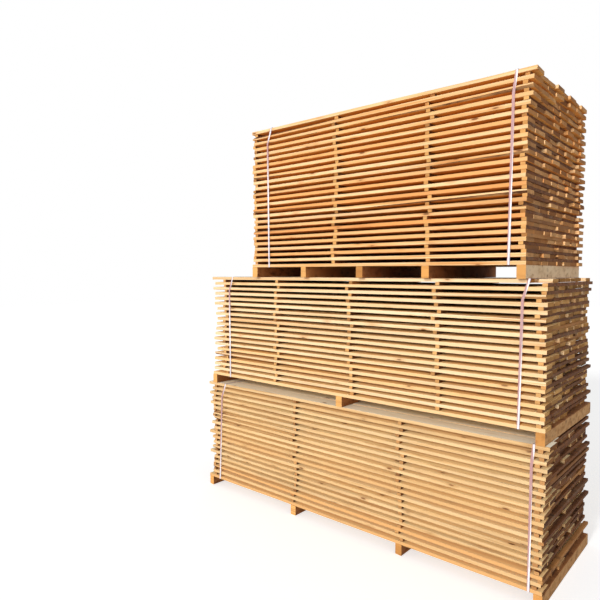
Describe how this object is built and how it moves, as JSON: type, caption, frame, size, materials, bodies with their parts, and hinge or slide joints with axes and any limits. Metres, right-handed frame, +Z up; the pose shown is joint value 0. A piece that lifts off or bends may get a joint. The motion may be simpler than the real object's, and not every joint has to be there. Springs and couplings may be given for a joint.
{
  "type": "stack of lumber",
  "caption": "Tall pile of stickered packs of rough-sawn boards on bearers, each pack bound with two flat straps, for air drying or storage.",
  "frame": {"origin": "on the floor, below the middle of the pile", "axes": "+X along the boards, +Y across them, +Z up"},
  "size_m": [2.909, 1.102, 3.03],
  "materials": {
    "upper_board": "rough sawn, warm",
    "middle_board": "rough sawn, pale",
    "lower_board": "rough sawn, weathered on top",
    "sticker": "rough sawn",
    "bearer": "rough sawn, greyed",
    "strap": "smooth band"
  },
  "bodies": {
    "root": {"lower_boards": "lower_board", "lower_stickers": "sticker", "lower_bearers": "bearer", "lower_strap_left": "strap", "lower_strap_right": "strap", "middle_boards": "middle_board", "middle_stickers": "sticker", "middle_bearers": "bearer", "middle_strap_left": "strap", "middle_strap_right": "strap", "upper_boards": "upper_board", "upper_stickers": "sticker", "upper_bearers": "bearer", "upper_strap_left": "strap", "upper_strap_right": "strap"}
  },
  "joints": []
}
